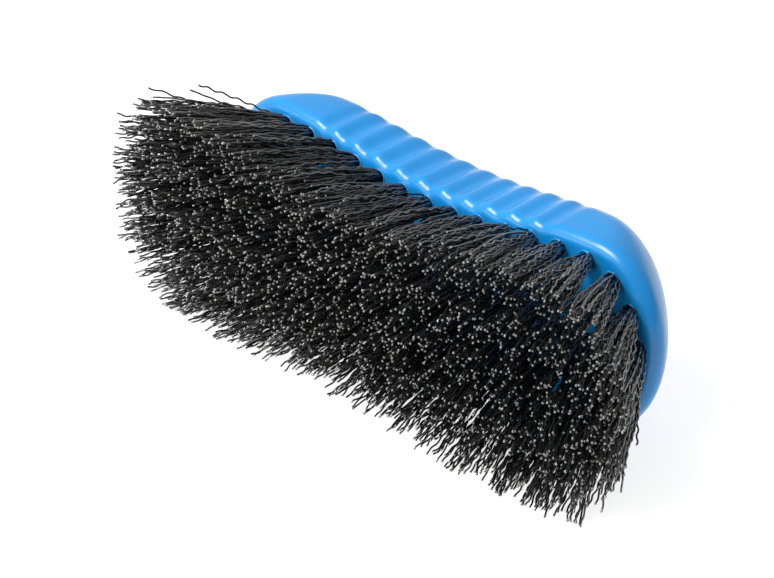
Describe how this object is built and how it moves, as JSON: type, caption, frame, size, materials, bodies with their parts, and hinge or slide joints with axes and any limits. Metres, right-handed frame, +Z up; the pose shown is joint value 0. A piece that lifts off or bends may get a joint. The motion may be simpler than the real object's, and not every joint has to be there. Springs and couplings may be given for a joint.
{
  "type": "scrub brush",
  "caption": "Hand scrub brush for wheels: waisted glossy blue block with finger ripples and splayed tufts of crimped black bristles, lying on its side.",
  "frame": {"origin": "centre of the footprint on the floor, at the lowest point of the brush as it lies on its long side", "axes": "+X along the block, -Y the way the tufts point (they lean 5 degrees above horizontal), +Z up from the floor"},
  "size_m": [0.2266, 0.0787, 0.0784],
  "materials": {
    "block_plastic": "glossy moulded polypropylene",
    "bristle": "black crimped filament, slight sheen",
    "anchor_wire": "drawn flat wire"
  },
  "bodies": {
    "root": {"block": "block_plastic", "anchors": "anchor_wire", "edge_tuft_01": "bristle", "edge_tuft_02": "bristle", "edge_tuft_03": "bristle", "edge_tuft_04": "bristle", "edge_tuft_05": "bristle", "edge_tuft_06": "bristle", "edge_tuft_07": "bristle", "edge_tuft_08": "bristle", "edge_tuft_09": "bristle", "edge_tuft_10": "bristle", "edge_tuft_11": "bristle", "edge_tuft_12": "bristle", "edge_tuft_13": "bristle", "edge_tuft_14": "bristle", "edge_tuft_15": "bristle", "edge_tuft_16": "bristle", "edge_tuft_17": "bristle", "edge_tuft_18": "bristle", "edge_tuft_19": "bristle", "edge_tuft_20": "bristle", "edge_tuft_21": "bristle", "edge_tuft_22": "bristle", "edge_tuft_23": "bristle", "edge_tuft_24": "bristle", "edge_tuft_25": "bristle", "edge_tuft_26": "bristle", "edge_tuft_27": "bristle", "edge_tuft_28": "bristle", "edge_tuft_29": "bristle", "edge_tuft_30": "bristle", "edge_tuft_31": "bristle", "edge_tuft_32": "bristle", "edge_tuft_33": "bristle", "edge_tuft_34": "bristle", "edge_tuft_35": "bristle", "edge_tuft_36": "bristle", "edge_tuft_37": "bristle", "edge_tuft_38": "bristle", "inner_tufts_01": "bristle", "inner_tufts_02": "bristle", "inner_tufts_03": "bristle", "inner_tufts_04": "bristle", "inner_tufts_05": "bristle", "inner_tufts_06": "bristle", "inner_tufts_07": "bristle", "inner_tufts_08": "bristle", "inner_tufts_09": "bristle", "inner_tufts_10": "bristle", "inner_tufts_11": "bristle", "inner_tufts_12": "bristle", "inner_tufts_13": "bristle", "inner_tufts_14": "bristle", "inner_tufts_15": "bristle"}
  },
  "joints": []
}
